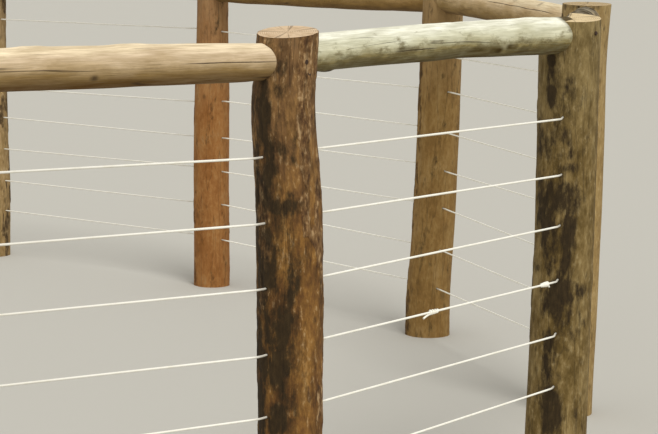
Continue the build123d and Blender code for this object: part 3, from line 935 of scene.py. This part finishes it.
# Each strand: extruded polyethylene coat over wire, taut, bending only where it enters and leaves a post.
# Lengths are in millimetres
strandLook = {
    "coat": "#faf7ea",
    "grime": "#cfc8a8",
    "rubbed": "#b3ac9e",
    "rubShare": 0.75,
    "rubReach": (12, 46),  # off a post's surface, between which the rubbing fades
    "bendReach": 12,  # of strand on each side of a corner that are curved
    "bendSteps": 4,
    "bendShare": 0.4,  # most of a run that a bend may take up
    "longRun": 500,  # a straight run past this length gets more points at each end
    "runPoints": (30, 55),
    "kink": 14,  # from where the strand droops to where it is straight in line with the hole
    "dips": {(0, 2): 2.5, (3, 2): 2, (4, 2): 3.5},  # (strand, post): how far it droops before the hole
    "smoothAngle": 50,
    "roundness": 2,  # bevel resolution of the tube
}


def strandRoute(strand):
    # corner points from end to end, in metres
    points = []
    for index in range(1, lastPost):
        before, after = strandMouth(index, strand, -1), strandMouth(index, strand, 1)
        points += [before, after]
        if (strand, index) in strandLook["dips"]:
            points.insert(-1, before.lerp(after, strandLook["kink"] / (after - before).length * mm))
            before.z -= strandLook["dips"][(strand, index)] * mm
    (firstSeat, firstWay), (lastSeat, lastWay) = sleeveSeat(0, strand), sleeveSeat(lastPost, strand)
    tail = strands["tail"] * mm
    return [firstSeat + firstWay * tail, *points, lastSeat + lastWay * tail]


def roundCorners(points):
    # each corner becomes a short curve through it
    route = [points[0]]
    steps = strandLook["bendSteps"]
    near, far = (reach * mm for reach in strandLook["runPoints"])
    for before, corner, after in zip(points, points[1:], points[2:]):
        arriving, leaving = corner - before, after - corner
        shortest = min(arriving.length, leaving.length)
        reach = min(strandLook["bendReach"] * mm, shortest * strandLook["bendShare"])
        way = arriving.normalized()
        start = corner - way * reach
        end = corner + leaving.normalized() * reach
        if arriving.length > strandLook["longRun"] * mm:
            route += [before + way * near, before + way * far, corner - way * far, corner - way * near]
        for step in range(steps + 1):
            part = step / steps
            route.append(start.lerp(corner, part).lerp(corner.lerp(end, part), part))
    return route + [points[-1]]


def addTube(name, route, diameter):
    curve = bpy.data.curves.new(name, "CURVE")
    curve.dimensions = "3D"
    curve.bevel_depth = diameter / 2 * mm
    curve.bevel_resolution = strandLook["roundness"]
    curve.use_fill_caps = True
    spline = curve.splines.new("POLY")
    spline.points.add(len(route) - 1)
    for point, place in zip(spline.points, route):
        point.co = (*place, 1)
    pick(addObject(name, curve))
    bpy.ops.object.convert(target="MESH")
    return bpy.context.object


def makeCoat():
    # Extruded white polyethylene: a soft sheen, greyed by dust and algae in patches 10 to 60 mm long
    material, tree = newMaterial("extrudedPolyethylene")
    place = addNode(tree, "TexCoord").outputs["Object"]
    patch = addNode(tree, "TexNoise", {"Vector": place, "Scale": 28, "Detail": 5, "Roughness": 0.65})
    speck = addNode(tree, "TexNoise", {"Vector": place, "Scale": 420, "Detail": 2})
    dusty = addLayer(tree, strandLook["coat"], strandLook["grime"], patch, (0.48, 0.72), 0.3)
    rubbing = addNode(tree, "Attribute", attribute_name="rubbing").outputs["Vector"]
    rubShare = addNode(tree, "SeparateXYZ", {"Vector": rubbing})
    tone = addNode(tree, "Mix", {0: rubShare, 6: dusty, 7: strandLook["rubbed"]}, data_type="RGBA")
    rough = addNode(tree, "MapRange", {"Value": patch, "To Min": 0.38, "To Max": 0.6})
    closeMaterial(tree, speck, 0.25, 0.0004, {"Base Color": tone, "Roughness": rough, "IOR": 1.5})
    return material


def rubStrand(tube):
    # greyer where the strand rubs a post
    x, y, height = readPlaces(tube).T
    nearest = np.ones(len(height))
    for index in range(len(posts)):
        centreX, centreY = postLine(index, height)
        far = np.hypot(x - centreX, y - centreY) - postRadius(index, height)
        nearest = np.minimum(nearest, np.abs(far))
    share = strandLook["rubShare"] * (1 - ease(nearest / mm, *strandLook["rubReach"]))
    writeAttribute(tube, "rubbing", np.column_stack((share, share, share)))


def buildStrands(coat):
    for strand in range(strands["count"]):
        tube = addTube(f"coatedStrand{strand + 1}", roundCorners(strandRoute(strand)), strands["diameter"])
        rubStrand(tube)
        finishPiece(tube, [coat], [f"wire_{strand + 1}"], strandLook["smoothAngle"])


# The two joins in the fourth strand: the strand is wrapped round itself, with a cut tail left standing
wraps = {
    "bay": 1,
    "strand": 3,
    "turnSteps": 14,
    "tailSteps": 4,
    "tailCurve": 1.4,
    "thick": 5,
    "joins": {
        "joinWrap": {"node": "splice_knot", "place": 548, "turns": 4, "pitch": 10, "core": 4.4, "taper": 0.45,
                     "tailWay": -1, "tailLength": 24, "tailDrop": 7},
        "postWrap": {"node": "splice_ferrule", "place": 1049, "turns": 6, "pitch": 5.6, "core": 5,
                     "taper": 0.5, "tailWay": 1, "tailLength": 7, "tailDrop": 4},
    },
}


def buildWraps(coat):
    bay, strand = wraps["bay"], wraps["strand"]
    start = strandMouth(bay, strand, 1)
    end = strandMouth(bay + 1, strand, -1)
    end.z -= strandLook["dips"].get((strand, bay + 1), 0) * mm
    way = (end - start).normalized()
    toPost = float(postRadius(bay, holeHeight(bay, strand))) + strands["bendOffset"] * mm
    across = way.cross(upward).normalized()
    rising = across.cross(way)
    for name, wrap in wraps["joins"].items():
        middle = start + way * (wrap["place"] * mm - toPost)
        onwards = way * wrap["tailWay"]
        steps = wrap["turns"] * wraps["turnSteps"]
        route = []
        for step in range(steps + 1):
            part = step / steps
            angle = 2 * pi * wrap["turns"] * part * wrap["tailWay"] - pi / 2
            core = wrap["core"] * mm * (1 - wrap["taper"] * (1 - part) ** 2)
            place = middle + onwards * (part - 0.5) * wrap["turns"] * wrap["pitch"] * mm
            route.append(place + (across * cos(angle) + rising * sin(angle)) * core)
        last = route[-1]
        for step in range(wraps["tailSteps"]):
            part = (step + 1) / wraps["tailSteps"]
            drop = wrap["tailDrop"] * mm * part ** wraps["tailCurve"]
            route.append(last + onwards * wrap["tailLength"] * mm * part - rising * drop)
        piece = addTube(name, route, wraps["thick"])
        finishPiece(piece, [coat], [wrap["node"]], strandLook["smoothAngle"])


# Crimped hexagonal sleeves that stop the strands behind the two end posts
sleeve = {"size": 14, "length": 24, "bevel": 0.8, "bevelAngle": 40, "crimp": 0.88, "rings": 14,
          "pressed": (3, 4, 7, 10, 11), "smoothAngle": 30}


metals = {
    # Pressed aluminium: a dull grey metal with fine scuffs about 4 mm long
    "pressedAluminium": {"scale": 260, "tones": ("#8d8d8a", "#c2c2be"), "metallic": 1.0, "rough": (0.35, 0.6),
                         "bump": (0.3, 0.0003)},
    # Hot-rolled steel nail heads, rusted dark brown and nearly matt
    "rustedSteel": {"scale": 340, "tones": ("#2a2522", "#5b4334"), "metallic": 0.6, "rough": (0.6, 0.6),
                    "bump": (0.5, 0.0005)},
}


def makeMetal(name):
    look = metals[name]
    material, tree = newMaterial(name)
    place = addNode(tree, "TexCoord").outputs["Object"]
    scuff = addNode(tree, "TexNoise", {"Vector": place, "Scale": look["scale"], "Detail": 4,
                                       "Roughness": 0.7})
    tone = addNode(tree, "Mix", {0: scuff, 6: look["tones"][0], 7: look["tones"][1]}, data_type="RGBA")
    smooth, rough = look["rough"]
    roughness = addNode(tree, "MapRange", {"Value": scuff, "To Min": smooth, "To Max": rough})
    closeMaterial(tree, scuff, *look["bump"], {"Base Color": tone, "Metallic": look["metallic"],
                                               "Roughness": roughness})
    return material


def addSleeve():
    # a six-sided sleeve with softened edges and three crimps pressed into it
    length = sleeve["length"] * mm
    model = addCylinder("sleeveModel", 6, sleeve["size"] / 2 * mm, Vector((0, 0, 0)), upward, length)
    rings = [length * place / sleeve["rings"] for place in sleeve["pressed"]]
    with editing(model):
        divideLength(model, sleeve["rings"] - 1)
        choose(model, "VERT", lambda vertex: min(abs(vertex.co.z - ring) for ring in rings) < 1e-4)
        bpy.ops.transform.resize(value=(sleeve["crimp"], sleeve["crimp"], 1), center_override=(0, 0, 0))
    applyModifier(model, "BEVEL", width=sleeve["bevel"] * mm, segments=2, limit_method="ANGLE",
                  angle_limit=radians(sleeve["bevelAngle"]))
    return model


def buildSleeves(metal):
    model = addSleeve()
    for name, node, index in (("crimpedSleevesFirst", "end_sleeves_a", 0),
                              ("crimpedSleevesLast", "end_sleeves_b", lastPost)):
        copies = []
        for strand in range(strands["count"]):
            seat, way = sleeveSeat(index, strand)
            turned = addObject(name, model.data.copy())
            turned.data.transform(Matrix.Translation(seat) @ way.to_track_quat("Z", "Y").to_matrix().to_4x4())
            copies.append(turned)
        finishPiece(joinPieces(copies, name), [metal], [node], sleeve["smoothAngle"])
    bpy.data.objects.remove(model)


# Nail heads that hold the rails in their sockets: (post, height, degrees round the post from +X)
nails = {"sides": 20, "radius": 5.5, "height": 2.2, "sunk": 4, "rim": 1.1,
         "places": [(1, 1322, 217), (1, 1296, 226), (2, 1338, 226)]}


def buildNails(steel):
    heads = []
    for index, height, degrees in nails["places"]:
        out = levelWay(degrees)
        radius = float(postRadius(index, height * mm))
        base = postCentre(index, height * mm) + out * (radius - nails["sunk"] * mm)
        head = addCylinder("nailHead", nails["sides"], nails["radius"] * mm, base, out,
                           (nails["sunk"] + nails["height"]) * mm)
        applyModifier(head, "BEVEL", width=nails["rim"] * mm, segments=3, limit_method="ANGLE")
        heads.append(head)
    finishPiece(joinPieces(heads, "nailHeads"), [steel], [])


# The studio: a plain pale floor, a soft lamp high behind the camera and a paler sky all round
studio = {
    "floor": "#b8b5ab",
    "floorSize": 240,
    "lampWay": (-0.6, -0.22, 0.85),
    "lampStrength": 1.9,
    "lampSpread": 24,  # degrees across
    "sky": "#fdfcfa",
    "skyStrength": 0.72,
    "backdrop": "#cbc8bf",
}


def buildStudio():
    deselectAll()
    bpy.ops.mesh.primitive_plane_add(size=studio["floorSize"])
    floor = bpy.context.object
    floor.name = "studioFloor"
    material, tree = newMaterial("paintedBoard")
    surface = addNode(tree, "BsdfPrincipled", {"Base Color": studio["floor"], "Roughness": 0.9})
    addNode(tree, "OutputMaterial", {"Surface": surface})
    floor.data.materials.append(material)
    lamp = bpy.data.lights.new("softLamp", "SUN")
    lamp.energy = studio["lampStrength"]
    lamp.angle = radians(studio["lampSpread"])
    holder = addObject("softLamp", lamp)
    holder.rotation_euler = Vector(studio["lampWay"]).to_track_quat("Z", "Y").to_euler()
    world = bpy.data.worlds.new("studioSky")
    bpy.context.scene.world = world
    world.use_nodes = True
    tree = world.node_tree
    tree.nodes.clear()
    # the camera and reflections see the backdrop, and the sky only gives light
    rays = addNode(tree, "LightPath").outputs
    seen = rays["Is Camera Ray"]
    for ray in ("Is Glossy Ray", "Is Transmission Ray"):
        seen = addNode(tree, "Math", {0: seen, 1: rays[ray]}, operation="MAXIMUM")
    sky = addNode(tree, "Background", {"Color": studio["sky"], "Strength": studio["skyStrength"]})
    back = addNode(tree, "Background", {"Color": studio["backdrop"], "Strength": 1.0})
    both = addNode(tree, "MixShader", {0: seen, 1: sky, 2: back})
    addNode(tree, "OutputWorld", {"Surface": both})


# The camera stands past the row's first end, at eye level, and looks along the row
eye = {
    "place": (-7.071, 1.409, 1.687),
    "heading": -4.87,
    "pitch": -8.26,
    "roll": 0.76,
    "lens": 120.36,  # millimetres
    "sensor": 36,
    "sight": 400,  # metres to the clipping end
}


def addCamera():
    data = bpy.data.cameras.new("eyeLevel")
    data.lens = eye["lens"]
    data.sensor_width = eye["sensor"]
    data.sensor_fit = "HORIZONTAL"
    data.clip_end = eye["sight"]
    camera = addObject("eyeLevel", data)
    pitch = radians(eye["pitch"])
    ahead = levelWay(eye["heading"]) * cos(pitch) + upward * sin(pitch)
    right = ahead.cross(upward).normalized()
    above = right.cross(ahead)
    turn = Matrix((right, above, -ahead)).transposed() @ Matrix.Rotation(radians(eye["roll"]), 3, "Z")
    camera.matrix_world = Matrix.Translation(eye["place"]) @ turn.to_4x4()
    bpy.context.scene.camera = camera


addCamera()
buildStudio()
print("camera and studio ready")

for index in range(len(posts)):
    buildPost(index)
print("posts ready")

for bay in range(len(rails)):
    buildRail(bay)
print("rails ready")

coat = makeCoat()
buildStrands(coat)
buildWraps(coat)
print("strands ready")

buildSleeves(makeMetal("pressedAluminium"))
buildNails(makeMetal("rustedSteel"))
print("sleeves and nails ready")

bpy.context.scene.view_settings.view_transform = "Standard"
deselectAll()
